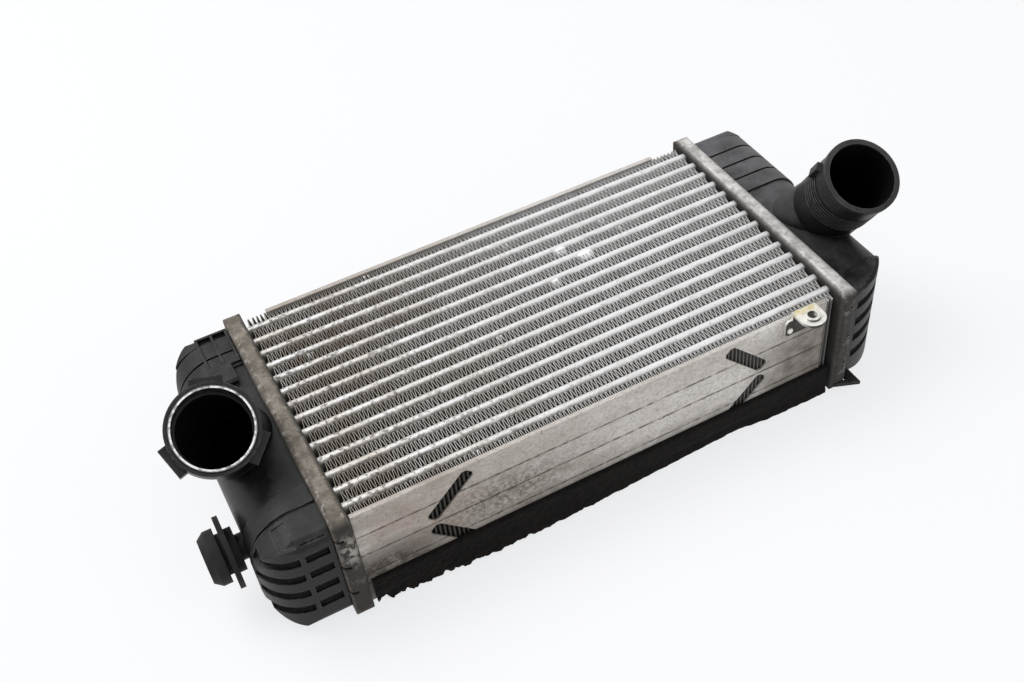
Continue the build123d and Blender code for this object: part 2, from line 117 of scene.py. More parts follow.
def makeFinish(name, finish):
    material = bpy.data.materials.new(name)
    material.use_nodes = True
    tree = material.node_tree
    tree.nodes.clear()
    place = addNode(tree, "ShaderNodeTexCoord").outputs["Object"]
    bevelled = None
    if "edge" in finish:
        bevelled = addNode(tree, "ShaderNodeBevel", {"samples": shading["bevelSamples"]},
                           {"Radius": finish["edge"] * mm}).outputs["Normal"]
    colour, rough, metal = linearColour(finish["colour"]), finish["rough"], finish.get("metal", 0.0)
    for layer in finish["layers"]:
        mask = patternMask(tree, place, layer)
        for region in layer.get("regions", []):
            mask = addNode(tree, "ShaderNodeMath", {"operation": "MULTIPLY"},
                           {0: mask, 1: regionMask(tree, place, bevelled, region)}).outputs["Value"]
        mask = addNode(tree, "ShaderNodeMath", {"operation": "MULTIPLY"},
                       {0: mask, 1: layer["amount"]}).outputs["Value"]
        colour = addNode(tree, "ShaderNodeMix", {"data_type": "RGBA"},
                         {"Factor": mask, 6: colour, 7: linearColour(layer["colour"])}).outputs[2]
        if "rough" in layer:
            rough = addNode(tree, "ShaderNodeMix", {},
                            {"Factor": mask, 2: rough, 3: layer["rough"]}).outputs[0]
        if "metal" in layer:
            metal = addNode(tree, "ShaderNodeMix", {},
                            {"Factor": mask, 2: metal, 3: layer["metal"]}).outputs[0]
    normal = bevelled
    for bump in finish.get("bumps", []):
        inputs = {"Height": patternMask(tree, place, bump), "Distance": bump["height"] * mm, "Strength": 1.0}
        if normal is not None:
            inputs["Normal"] = normal
        normal = addNode(tree, "ShaderNodeBump", {}, inputs).outputs["Normal"]
    inputs = {"Base Color": colour, "Roughness": rough, "Metallic": metal}
    if "ior" in finish:
        inputs["IOR"], inputs["Specular IOR Level"] = finish["ior"], finish["shine"]
    if normal is not None:
        inputs["Normal"] = normal
    shader = addNode(tree, "ShaderNodeBsdfPrincipled", {}, inputs)
    addNode(tree, "ShaderNodeOutputMaterial", {}, {"Surface": shader.outputs["BSDF"]})
    return material


# Regions that several finishes share. A place is in metres from the middle of the part, or up from
# the floor. A way of facing goes from -1, turned away, to 1, turned towards the axis. Spots are in mm.
leftHalf = {"by": "place", "axis": (1, 0, 0), "none": 0.05, "full": -0.14}
rightHalf = {"by": "place", "axis": (1, 0, 0), "none": -0.05, "full": 0.12}
leftFront = {"by": "place", "axis": (1, 0.8, 0), "none": 0.2, "full": -0.12}
farBack = {"by": "place", "axis": (0, 1, 0), "none": -0.07, "full": 0.05}
# heights in the fins where painted shade lies
shadeBelowFinEdges = {"by": "place", "axis": (0, 0, 1), "none": 0.0856, "full": 0.0848}
shadeDeepInFins = {"by": "place", "axis": (0, 0, 1), "none": 0.0850, "full": 0.0825}
upward = {"by": "facing", "axis": (0, 0, 1), "none": 0.2, "full": 0.95}
turnedFromTop = {"by": "facing", "axis": (0, 0, 1), "none": 1.0, "full": 0.5}
frontward = {"by": "facing", "axis": (0, -1, 0), "none": 0.2, "full": 0.85}
undersideFront = {"by": "facing", "axis": (0, -1, -0.2), "none": 0.05, "full": 0.7}
knocked = {"by": "mark", "name": "knock", "none": 0.1, "full": 0.6}

# Extruded aluminium, mill finish, dulled by oxide: broad soft highlights, a brown film of dried road dirt
# at the left, and painted shade, with dirt at the left, on the faces that look down to the front.
tubeFinish = {
    "colour": "e6e6e7", "metal": 0.5, "rough": 0.36,
    "layers": [
        # oxide
        {"colour": "c1c0bf", "size": 16, "none": 0.4, "full": 0.75,
         "amount": 0.55, "rough": 0.5, "metal": 0.3},
        # brown film
        {"colour": "aa9c86", "size": 30, "none": 0.3, "full": 0.7,
         "amount": 0.6, "rough": 0.5, "metal": 0.3, "regions": [leftHalf]},
        # painted shade with dirt on the lower front of the noses, at the left
        {"colour": "6d6459", "size": 9, "none": 0.1, "full": 0.5,
         "amount": 0.7, "rough": 0.7, "metal": 0.1, "regions": [undersideFront, leftHalf]},
        # dark dirt with painted shade on the front-facing side of the noses, at the left
        {"colour": "4c443b", "size": 4, "none": 0.38, "full": 0.6, "detail": 6,
         "amount": 0.8, "rough": 0.85, "metal": 0.0, "regions": [frontward, leftHalf]},
        # painted shade on the lower front of the noses
        {"colour": "7d7b78", "size": 9, "none": 0.1, "full": 0.6,
         "amount": 0.6, "rough": 0.7, "metal": 0.1, "regions": [undersideFront]},
        # specks, most of them at the left
        {"colour": "6b6359", "size": 2.0, "none": 0.6, "full": 0.72, "detail": 6,
         "amount": 0.6, "rough": 0.8, "metal": 0.0},
        {"colour": "453b31", "size": 2.6, "none": 0.52, "full": 0.62, "detail": 8,
         "amount": 0.75, "rough": 0.85, "metal": 0.0, "regions": [leftHalf]},
        # scars
        {"colour": "ffffff", "size": 2.0, "none": 0.3, "full": 0.5,
         "amount": 1.0, "rough": 0.3, "regions": [knocked]},
    ],
    "bumps": [{"size": 1.4, "none": 0.2, "full": 0.8, "height": 0.08}],
}

# Thin rolled aluminium strip, folded: bright along the cut edges, with painted shade just below them and
# deeper in the folds.
finFinish = {
    "colour": "dedddb", "metal": 0.2, "rough": 0.5,
    "layers": [
        # oxide
        {"colour": "a3a19e", "size": 12, "none": 0.4, "full": 0.7,
         "amount": 0.5, "rough": 0.7, "metal": 0.1},
        # brown film
        {"colour": "8c806e", "size": 34, "none": 0.2, "full": 0.55,
         "amount": 0.8, "rough": 0.8, "metal": 0.0, "regions": [leftHalf]},
        # a rusty stain
        {"colour": "7d5c48", "size": 9, "none": 0.4, "full": 0.65,
         "amount": 0.5, "rough": 0.8, "metal": 0.0,
         "regions": [{"by": "spot", "at": (-100, 57, 85), "size": (75, 48, 60)}]},
        # painted shade just below the top edges, and darker painted shade deep in the folds at the left
        # front
        {"colour": "4a4846", "size": 20, "none": 0.0, "full": 0.3,
         "amount": 0.8, "rough": 0.85, "metal": 0.0, "regions": [shadeBelowFinEdges]},
        {"colour": "2c2823", "size": 20, "none": 0.0, "full": 0.3,
         "amount": 0.9, "rough": 0.9, "metal": 0.0, "regions": [shadeDeepInFins, leftFront]},
        # scars
        {"colour": "ffffff", "size": 1.5, "none": 0.3, "full": 0.5,
         "amount": 1.0, "rough": 0.4, "regions": [knocked]},
    ],
}


def onFrontPlate(x, z, along, up):
    # a spot on the front side plate: its middle and its reach, in mm
    return {"by": "spot", "at": (x, -89, z), "size": (along, 12, up)}


# Rolled aluminium sheet, brazed in a furnace: pale oxide, brown stains, dark specks, and dirt that has
# settled along three swaged lines.
plateFinish = {
    "colour": "d3cfcb", "metal": 0.35, "rough": 0.45, "edge": 0.4,
    "layers": [
        # oxide, drawn out along the rolling
        {"colour": "a8a199", "size": 20, "none": 0.4, "full": 0.7, "stretch": (0.4, 1, 1),
         "amount": 0.6, "rough": 0.6, "metal": 0.2},
        # brown film, with a reddish part
        {"colour": "8f8277", "size": 14, "none": 0.25, "full": 0.6, "stretch": (0.5, 1, 1),
         "amount": 0.75, "rough": 0.7, "metal": 0.1, "regions": [leftHalf]},
        {"colour": "b08c86", "size": 9, "none": 0.45, "full": 0.65,
         "amount": 0.35, "regions": [onFrontPlate(-120, 52, 60, 40)]},
        # the large speckled stain beside the left slots
        {"colour": "4a453c", "size": 2.6, "none": 0.43, "full": 0.58, "detail": 8,
         "amount": 0.8, "rough": 0.85, "metal": 0.0, "regions": [onFrontPlate(-70, 46, 62, 26)]},
        {"colour": "6f685d", "size": 7, "none": 0.3, "full": 0.6, "stretch": (0.4, 1, 1),
         "amount": 0.5, "rough": 0.8, "metal": 0.0, "regions": [onFrontPlate(-70, 40, 110, 36)]},
        # black dirt at the lower left corner, grey dirt at the right end and along the foot
        {"colour": "2b2622", "size": 12, "none": 0.24, "full": 0.46, "detail": 6,
         "amount": 0.95, "rough": 0.85, "metal": 0.0, "regions": [onFrontPlate(-150, 28, 48, 30)]},
        {"colour": "77706a", "size": 20, "none": 0.0, "full": 0.3,
         "amount": 0.75, "rough": 0.75, "metal": 0.1, "regions": [onFrontPlate(172, 40, 66, 66)]},
        {"colour": "4b4641", "size": 11, "none": 0.3, "full": 0.6, "detail": 6,
         "amount": 0.8, "rough": 0.85, "metal": 0.0, "regions": [onFrontPlate(158, 46, 56, 50)]},
        {"colour": "5d5750", "size": 10, "none": 0.3, "full": 0.6,
         "amount": 0.6, "rough": 0.8, "metal": 0.0, "regions": [onFrontPlate(0, 20, 400, 20)]},
        # specks and grain
        {"colour": "4a443b", "size": 1.6, "none": 0.6, "full": 0.68, "detail": 8,
         "amount": 0.7, "rough": 0.85, "metal": 0.0},
        {"colour": "8a8279", "size": 1.5, "none": 0.46, "full": 0.62, "detail": 8, "stretch": (0.6, 1, 1),
         "amount": 0.4, "rough": 0.65},
    ] + [
        # the swaged lines
        {"colour": "4a4339", "size": 6, "none": 0.42, "full": 0.56, "detail": 6,
         "amount": 0.75, "rough": 0.85, "metal": 0.0, "regions": [onFrontPlate(0, height, 600, 1.2)]}
        for height in (31, 49, 67)
    ],
    "bumps": [{"size": 0.9, "none": 0.2, "full": 0.8, "height": 0.05}],
}


# Pressed aluminium, oxidised and pitted: worn pale along its edges, darker on its front end, painted shade
# on its sides and on the side that faces the core, dirt and painted shade in the folds. The wide Bevel
# radius gives the soft shading of a pressed bead.
def headerFinish(colour, blotch, pitting, speckle, facingCore):
    return {
        "colour": colour, "metal": 0.3, "rough": 0.5, "edge": 2.6,
        "layers": [
            # oxide blotches and pits
            {"colour": blotch, "size": 13, "none": 0.42, "full": 0.62,
             "amount": 0.85, "rough": 0.7, "metal": 0.1},
            {"colour": "5c5650", "size": 4, "none": 0.52, "full": 0.68,
             "amount": pitting, "rough": 0.85, "metal": 0.0},
            # painted shade on the sides, which turn away from the top
            {"colour": "5b554e", "size": 30, "none": 0.0, "full": 0.3,
             "amount": 0.6, "rough": 0.7, "regions": [turnedFromTop]},
            # worn edges
            {"colour": "e6e2dc", "size": 5, "none": 0.52, "full": 0.62, "shift": (0.07, 0, 0),
             "amount": 0.6, "rough": 0.45, "regions": [{"by": "edge", "none": 0.995, "full": 0.93}]},
            # specks
            {"colour": "35302a", "size": 1.8, "none": 0.58, "full": 0.66, "detail": 8,
             "amount": speckle, "rough": 0.9, "metal": 0.0},
            # darker on the faces that look to the front
            {"colour": "26221f", "size": 8, "none": 0.18, "full": 0.44,
             "amount": 0.95, "rough": 0.85, "metal": 0.0, "regions": [frontward]},
            # painted shade on the side that faces the core, in the gap under the bead
            {"colour": "1b1816", "size": 8, "none": 0.1, "full": 0.35,
             "amount": 0.95, "rough": 0.9, "metal": 0.0,
             "regions": [{"by": "facing", "axis": (facingCore, 0, 0), "none": 0.3, "full": 1.0}]},
            # dirt and painted shade in the folds
            {"colour": "1b1816", "size": 6, "none": 0.1, "full": 0.4,
             "amount": 0.9, "rough": 0.9, "metal": 0.0,
             "regions": [{"by": "crevice", "reach": 7, "none": 0.7, "full": 0.35}]},
            # metal rubbed bare, with a painted highlight, on the front end of the left plate
            {"colour": "b9b4ad", "size": 5, "none": 0.44, "full": 0.56,
             "amount": 0.75, "rough": 0.5,
             "regions": [{"by": "spot", "at": (-168, -97, 66), "size": (12, 8, 20), "full": 0.2}]},
        ],
        "bumps": [{"size": 1.1, "none": 0.3, "full": 0.7, "height": 0.12}],
    }


# Glass-filled nylon, moulded black: satin sheen, grey dust on top with a painted reflection on the back of
# the right tank's top, scuffed edges with a painted highlight, dirt and painted shade in the grooves,
# painted shade deep inside the ports.
tankFinish = {
    "colour": "0b0b0d", "rough": 0.4, "ior": 1.53, "shine": 0.25, "edge": 0.9,
    "layers": [
        {"colour": "161618", "size": 18, "none": 0.35, "full": 0.75,
         "amount": 0.8, "rough": 0.5},
        # dust
        {"colour": "4a4a4c", "size": 9, "none": 0.4, "full": 0.8,
         "amount": 0.35, "rough": 0.75, "regions": [upward]},
        # painted reflection, pale grey, on the back of the right tank's top
        {"colour": "79777a", "size": 16, "none": 0.2, "full": 0.6,
         "amount": 0.5, "rough": 0.6, "regions": [upward, rightHalf, farBack]},
        # scuffs, with a painted highlight along the rib edges
        {"colour": "8a8987", "size": 3.4, "none": 0.44, "full": 0.64,
         "amount": 0.5, "rough": 0.7, "regions": [{"by": "edge", "none": 0.995, "full": 0.9}]},
        # dirt and painted shade in the grooves, painted shade deep inside the ports
        {"colour": "040404", "size": 20, "none": 0.0, "full": 0.3,
         "amount": 0.85, "rough": 0.6,
         "regions": [{"by": "crevice", "reach": 7, "none": 0.6, "full": 0.25}]},
        {"colour": "010101", "size": 20, "none": 0.0, "full": 0.2,
         "amount": 1.0, "rough": 0.5,
         "regions": [{"by": "crevice", "reach": 60, "none": 0.5, "full": 0.3}]},
    ],
    "bumps": [{"size": 0.8, "none": 0.3, "full": 0.7, "height": 0.04}],
}

# Turned steel ring, black with oil, with a bright worn line round its mouth, 24.9 mm from the middle
# at the most, and broken by stains.
ringFinish = {
    "colour": "0c0c0d", "metal": 0.2, "rough": 0.35, "edge": 0.3,
    "layers": [
        {"colour": "f4f4f6", "size": 7, "none": 0.25, "full": 0.5,
         "amount": 1.0, "rough": 0.25, "metal": 0.6,
         "regions": [{"by": "facing", "axis": (0, -0.6, 0.8), "none": 0.3, "full": 0.6},
                     {"by": "spot", "at": (-212.75, -18.4, 124.4), "size": (24.9, 24.9, 24.9),
                      "full": 0.97}]},
        {"colour": "55555a", "size": 3, "none": 0.5, "full": 0.62,
         "amount": 0.7, "rough": 0.5},
    ],
}

# Moulded rubber, dull black with a brown bloom.
rubberFinish = {
    "colour": "121213", "rough": 0.65, "ior": 1.52, "shine": 0.25, "edge": 0.8,
    "layers": [{"colour": "39332f", "size": 6, "none": 0.45, "full": 0.8, "amount": 0.5, "rough": 0.85}],
    "bumps": [{"size": 1.0, "none": 0.3, "full": 0.7, "height": 0.05}],
}

# Pressed steel, zinc-plated: pale on the eye with some yellow passivation left, dark down the leg with dirt
# and painted shade.
zincFinish = {
    "colour": "e9e7e0", "metal": 0.3, "rough": 0.35, "edge": 0.4,
    "layers": [
        # yellow passivation
        {"colour": "d8bb3c", "size": 5, "none": 0.35, "full": 0.5,
         "amount": 0.8, "rough": 0.45,
         "regions": [{"by": "spot", "at": (146, -91, 93), "size": (14, 5, 8)}]},
        # white rust
        {"colour": "a9a69d", "size": 4, "none": 0.5, "full": 0.65, "amount": 0.5, "rough": 0.5},
        # dirt and painted shade on the faces that look to the front, down the leg
        {"colour": "4c4843", "size": 7, "none": 0.1, "full": 0.35,
         "amount": 1.0, "rough": 0.75, "metal": 0.1, "regions": [frontward]},
        {"colour": "2e2a26", "size": 5, "none": 0.34, "full": 0.52,
         "amount": 0.9, "rough": 0.85, "metal": 0.0, "regions": [frontward]},
    ],
}

# The rivet head is of the same steel, without the dirt and painted shade of the leg.
rivetFinish = {**zincFinish, "layers": zincFinish["layers"][:2]}

# Open-cell polyurethane foam, cut from sheet, old and soaked with dirt: hardly any shine.
foamFinish = {
    "colour": "0b0a09", "rough": 1.0, "ior": 1.5, "shine": 0.2,
    "layers": [{"colour": "241d1a", "size": 5, "none": 0.4, "full": 0.75, "amount": 0.6}],
    "bumps": [{"size": 1.2, "none": 0.3, "full": 0.7, "height": 0.5}],
}

tubeMaterial = makeFinish("extrudedAluminium", tubeFinish)
finMaterial = makeFinish("finAluminium", finFinish)
plateMaterial = makeFinish("sheetAluminium", plateFinish)
leftHeaderMaterial = makeFinish("pressedAluminiumLeft", headerFinish("7f776c", "554e45", 0.6, 0.8, 1))
rightHeaderMaterial = makeFinish("pressedAluminiumRight", headerFinish("d8d6d4", "96938f", 0.35, 0.35, -1))
tankMaterial = makeFinish("glassFilledNylon", tankFinish)
ringMaterial = makeFinish("turnedSteel", ringFinish)
rubberMaterial = makeFinish("mouldedRubber", rubberFinish)
zincMaterial = makeFinish("zincPlatedSteel", zincFinish)
rivetMaterial = makeFinish("zincPlatedRivet", rivetFinish)
foamMaterial = makeFinish("openFoam", foamFinish)
print("materials made")

nodeMaterials = {
    "side_plate_front": plateMaterial, "side_plate_back": plateMaterial,
    "header_plate_left": leftHeaderMaterial, "header_plate_right": rightHeaderMaterial,
    "tank_gasket_left": rubberMaterial, "tank_gasket_right": rubberMaterial,
    "left_tank": tankMaterial, "left_port_neck": tankMaterial, "right_tank": tankMaterial,
    "port_sleeve": ringMaterial,
    "mount_bush": rubberMaterial, "eyelet_bracket": zincMaterial,
}
for nodeName, material in nodeMaterials.items():
    nodes[nodeName].data.materials.clear()
    nodes[nodeName].data.materials.append(material)


def newTree(name, inputs):
    # a node tree with named size inputs and one geometry output
    tree = bpy.data.node_groups.new(name, "GeometryNodeTree")
    for label, kind in inputs.items():
        tree.interface.new_socket(name=label, in_out="INPUT", socket_type=kind)
    tree.interface.new_socket(name="Geometry", in_out="OUTPUT", socket_type="NodeSocketGeometry")
    return tree, addNode(tree, "NodeGroupInput").outputs


def endTree(tree, geometry, material):
    # makes the instances real and gives them their finish
    whole = addNode(tree, "GeometryNodeRealizeInstances", {}, {"Geometry": geometry})
    painted = addNode(tree, "GeometryNodeSetMaterial", {},
                      {"Geometry": whole.outputs["Geometry"], "Material": material})
    addNode(tree, "NodeGroupOutput", {}, {"Geometry": painted.outputs["Geometry"]})


def growPiece(name, tree, values, thickness=0):
    # runs a tree on an empty mesh and keeps what it makes as a plain mesh
    piece = bpy.data.objects.new(name, bpy.data.meshes.new(name))
    modifier = piece.modifiers.new("shape", "NODES")
    modifier.node_group = tree
    for item in tree.interface.items_tree:
        if item.in_out == "INPUT" and item.name in values:
            modifier[item.identifier] = values[item.name]
    if thickness:
        wall = piece.modifiers.new("thickness", "SOLIDIFY")
        wall.thickness, wall.offset = thickness, 0
    scene.collection.objects.link(piece)
    evaluated = piece.evaluated_get(bpy.context.evaluated_depsgraph_get())
    mesh = bpy.data.meshes.new_from_object(evaluated)
    piece.modifiers.clear()
    piece.data = mesh
    return piece


def finishPiece(piece, replaced=()):
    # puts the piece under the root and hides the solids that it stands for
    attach(piece, "root")
    if replaced:
        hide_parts(*replaced)


# Knocks on the upper face that left bright scars: place along and across the core, and reach along
# and across, in mm.
knocks = [(-137, 46.2, 4, 3), (47.5, 47.2, 6, 4), (87, 59.2, 6, 3), (94, 46.2, 3, 3), (60, 35, 7, 4),
          (39, 7.7, 4, 2.5), (-26, -4.8, 3, 2.5), (-80, -82.8, 5, 3), (-158, -83.8, 5, 3), (18, 72, 4, 3),
          (30, 22, 4, 2.5), (-90, 97, 3, 2)]


def knockStrength(x, y):
    # how hard the nearest knock hit this place, from 0 to 1
    spots = [math.hypot((x / mm - kx) / along, (y / mm - ky) / across) for kx, ky, along, across in knocks]
    return max(0, 1 - min(spots) ** 2)


def markKnocks(mesh, low):
    # leaves the strength on each point above low as an attribute that the finishes read
    marks = mesh.attributes.new("knock", "FLOAT", "POINT")
    marks.data.foreach_set("value", [knockStrength(vertex.co.x, vertex.co.y) if vertex.co.z > low else 0
                                     for vertex in mesh.vertices])


def unevenness(x, size, row, level=0):
    # smooth noise along x at a size in mm; rows and levels apart don't repeat each other
    return noise.noise(Vector((x / (size * mm), row, level)))


# Flat tubes with round noses, slightly dented, more so where they were knocked.
tubes = {"nose": 2.4, "noseSteps": 5, "stations": 140, "dent": 0.12, "dentSize": 22, "rowShift": 5.1,
         "knockDepth": 3}
tubeBoxes = [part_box(name) for name in tubeNames]
tubeLow, tubeHigh = tubeBoxes[0]
tubePitch = (tubeBoxes[1][0] - tubeBoxes[0][0]).y

tree, given = newTree("flatTubes", {
    "Count": "NodeSocketInt", "Pitch": "NodeSocketVector", "First": "NodeSocketVector",
    "Start": "NodeSocketVector", "End": "NodeSocketVector", "Depth": "NodeSocketFloat",
    "Height": "NodeSocketFloat", "Nose": "NodeSocketFloat", "Nose Steps": "NodeSocketInt",
    "Stations": "NodeSocketInt"})
rows = addNode(tree, "GeometryNodeMeshLine", {"mode": "OFFSET", "count_mode": "TOTAL"},
               {"Count": given["Count"], "Start Location": given["First"], "Offset": given["Pitch"]})
section = addNode(tree, "GeometryNodeCurvePrimitiveQuadrilateral", {"mode": "RECTANGLE"},
                  {"Width": given["Height"], "Height": given["Depth"]})
section = addNode(tree, "GeometryNodeFilletCurve", {"mode": "POLY"},
                  {"Curve": section.outputs["Curve"], "Radius": given["Nose"], "Count": given["Nose Steps"]})
rail = addNode(tree, "GeometryNodeCurvePrimitiveLine", {"mode": "POINTS"},
               {"Start": given["Start"], "End": given["End"]})
rail = addNode(tree, "GeometryNodeResampleCurve", {},
               {"Curve": rail.outputs["Curve"], "Count": given["Stations"]})
bar = addNode(tree, "GeometryNodeCurveToMesh", {},
              {"Curve": rail.outputs["Curve"], "Profile Curve": section.outputs["Curve"], "Fill Caps": True})
placed = addNode(tree, "GeometryNodeInstanceOnPoints", {},
                 {"Points": rows.outputs["Mesh"], "Instance": bar.outputs["Mesh"]})
endTree(tree, placed.outputs["Instances"], tubeMaterial)

middleZ = (tubeLow.z + tubeHigh.z) / 2
coreTubes = growPiece("coreTubes", tree, {
    "Count": len(tubeNames), "Pitch": (0, tubePitch, 0), "First": (0, (tubeLow.y + tubeHigh.y) / 2, 0),
    "Start": (tubeLow.x, 0, middleZ), "End": (tubeHigh.x, 0, middleZ), "Depth": tubeHigh.z - tubeLow.z,
    "Height": tubeHigh.y - tubeLow.y, "Nose": tubes["nose"] * mm, "Nose Steps": tubes["noseSteps"],
    "Stations": tubes["stations"]})
for vertex in coreTubes.data.vertices:
    x, y, z = vertex.co
    row = round((y - tubeLow.y) / tubePitch - 0.5)
    dent = unevenness(x, tubes["dentSize"], row * tubes["rowShift"])
    dent += tubes["knockDepth"] * knockStrength(x, y)
    if z > middleZ:
        vertex.co.z = z - max(0, dent) * tubes["dent"] * mm
markKnocks(coreTubes.data, middleZ)
finishPiece(coreTubes, tubeNames)
print("tubes made:", len(coreTubes.data.polygons), "faces")

# Fin strips: one leg every 1.45 mm, as close as the real ones stand. The sheet is thicker than real
# fin strip, so that its bright edges show. The folds are blunt at the left and sharper towards the right.
fins = {"leg": 1.45, "crest": 0.95, "crestChange": -0.5, "sheet": 0.42, "rows": 4, "bunch": 0.4,
        "lean": 0.75, "leanSize": 6, "leanDepth": 1, "rowShift": 7.3,
        "crush": 1.3, "crushSize": 2.0, "crushLevel": 3, "sinkSize": 1.0, "sinkLevel": 9, "markDepth": 4}
finBoxes = [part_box(name) for name in finNames]
finLow, finHigh = finBoxes[0]
finLength = finHigh.x - finLow.x
legCount = int(finLength / (fins["leg"] * mm))

tree, given = newTree("foldedStrips", {
    "Count": "NodeSocketInt", "Pitch": "NodeSocketVector", "First": "NodeSocketVector",
    "Legs": "NodeSocketInt", "Leg": "NodeSocketFloat", "Crest": "NodeSocketFloat",
    "Crest Change": "NodeSocketFloat", "Rise": "NodeSocketFloat",
    "Depth": "NodeSocketFloat", "Bunch": "NodeSocketFloat", "Rows": "NodeSocketInt"})
# a flat grid becomes the strip: two columns of points for each leg, which are pushed from side to side
columns = addNode(tree, "ShaderNodeMath", {"operation": "MULTIPLY_ADD"},
                  {0: given["Legs"], 1: 2.0, 2: 1.0})
sheet = addNode(tree, "GeometryNodeMeshGrid", {},
                {"Size X": 1.0, "Size Y": 2.0,
                 "Vertices X": columns.outputs[0], "Vertices Y": given["Rows"]})
spot = addNode(tree, "ShaderNodeSeparateXYZ", {}, {0: addNode(tree, "GeometryNodeInputPosition").outputs[0]})
share = addNode(tree, "ShaderNodeMath", {"operation": "ADD"}, {0: spot.outputs["X"], 1: 0.5})
column = addNode(tree, "ShaderNodeMath", {"operation": "MULTIPLY"}, {0: share.outputs[0], 1: given["Legs"]})
column = addNode(tree, "ShaderNodeMath", {"operation": "MULTIPLY"}, {0: column.outputs[0], 1: 2.0})
column = addNode(tree, "ShaderNodeMath", {"operation": "ROUND"}, {0: column.outputs[0]})
leg = addNode(tree, "ShaderNodeMath", {"operation": "DIVIDE"}, {0: column.outputs[0], 1: 2.0})
leg = addNode(tree, "ShaderNodeMath", {"operation": "FLOOR"}, {0: leg.outputs[0]})
onCrest = addNode(tree, "ShaderNodeMath", {"operation": "MODULO"}, {0: column.outputs[0], 1: 2.0})
alongLeg = addNode(tree, "ShaderNodeMath", {"operation": "MULTIPLY"}, {0: leg.outputs[0], 1: given["Leg"]})
crest = addNode(tree, "ShaderNodeMath", {"operation": "MULTIPLY_ADD"},
                {0: share.outputs[0], 1: given["Crest Change"], 2: given["Crest"]})
alongX = addNode(tree, "ShaderNodeMath", {"operation": "MULTIPLY_ADD"},
                 {0: onCrest.outputs[0], 1: crest.outputs[0], 2: alongLeg.outputs[0]})
odd = addNode(tree, "ShaderNodeMath", {"operation": "MODULO"}, {0: leg.outputs[0], 1: 2.0})
way = addNode(tree, "ShaderNodeMath", {"operation": "MULTIPLY_ADD"}, {0: odd.outputs[0], 1: 2.0, 2: -1.0})
across = addNode(tree, "ShaderNodeMath", {"operation": "MULTIPLY"}, {0: way.outputs[0], 1: given["Rise"]})
# the rows of points bunch towards both faces, where the legs lean
size = addNode(tree, "ShaderNodeMath", {"operation": "ABSOLUTE"}, {0: spot.outputs["Y"]})
size = addNode(tree, "ShaderNodeMath", {"operation": "POWER"}, {0: size.outputs[0], 1: given["Bunch"]})
side = addNode(tree, "ShaderNodeMath", {"operation": "SIGN"}, {0: spot.outputs["Y"]})
height = addNode(tree, "ShaderNodeMath", {"operation": "MULTIPLY"},
                 {0: size.outputs[0], 1: side.outputs[0]})
half = addNode(tree, "ShaderNodeMath", {"operation": "MULTIPLY"}, {0: given["Depth"], 1: 0.5})
height = addNode(tree, "ShaderNodeMath", {"operation": "MULTIPLY"},
                 {0: height.outputs[0], 1: half.outputs[0]})
target = addNode(tree, "ShaderNodeCombineXYZ", {},
                 {"X": alongX.outputs[0], "Y": across.outputs[0], "Z": height.outputs[0]})
folded = addNode(tree, "GeometryNodeSetPosition", {},
                 {"Geometry": sheet.outputs["Mesh"], "Position": target.outputs["Vector"]})
gaps = addNode(tree, "GeometryNodeMeshLine", {"mode": "OFFSET", "count_mode": "TOTAL"},
               {"Count": given["Count"], "Start Location": given["First"], "Offset": given["Pitch"]})
placed = addNode(tree, "GeometryNodeInstanceOnPoints", {},
                 {"Points": gaps.outputs["Mesh"], "Instance": folded.outputs["Geometry"]})
endTree(tree, placed.outputs["Instances"], finMaterial)

# the strips start a quarter of a leg in, so that the thickness of the sheet stays clear of the header
coreFins = growPiece("coreFins", tree, {
    "Count": len(finNames), "Pitch": (0, tubePitch, 0),
    "First": (finLow.x + fins["leg"] * mm / 4, (finLow.y + finHigh.y) / 2, middleZ),
    "Legs": legCount, "Leg": fins["leg"] * mm, "Crest": fins["crest"] * mm,
    "Crest Change": fins["crestChange"] * mm,
    "Rise": (finHigh.y - finLow.y) / 2 - fins["sheet"] * mm, "Depth": finHigh.z - finLow.z,
    "Bunch": fins["bunch"], "Rows": fins["rows"]}, fins["sheet"] * mm)
topZ = finHigh.z
for vertex in coreFins.data.vertices:
    x, y, z = vertex.co
    if z > topZ - fins["leanDepth"] * mm:
        gap = round(y / tubePitch)
        dx = unevenness(x, fins["leanSize"], gap * fins["rowShift"]) * fins["lean"] * mm
        crushed = knockStrength(x, y) * fins["crush"] * mm
        dx += crushed * unevenness(x, fins["crushSize"], y / (fins["crushSize"] * mm), fins["crushLevel"])
        dz = -crushed * abs(unevenness(x, fins["sinkSize"], y / (fins["sinkSize"] * mm), fins["sinkLevel"]))
        vertex.co = (min(max(x + dx, finLow.x), finHigh.x), y, min(z + dz, topZ))
markKnocks(coreFins.data, topZ - fins["markDepth"] * mm)
finishPiece(coreFins, finNames)
print("fins made:", len(coreFins.data.polygons), "faces")

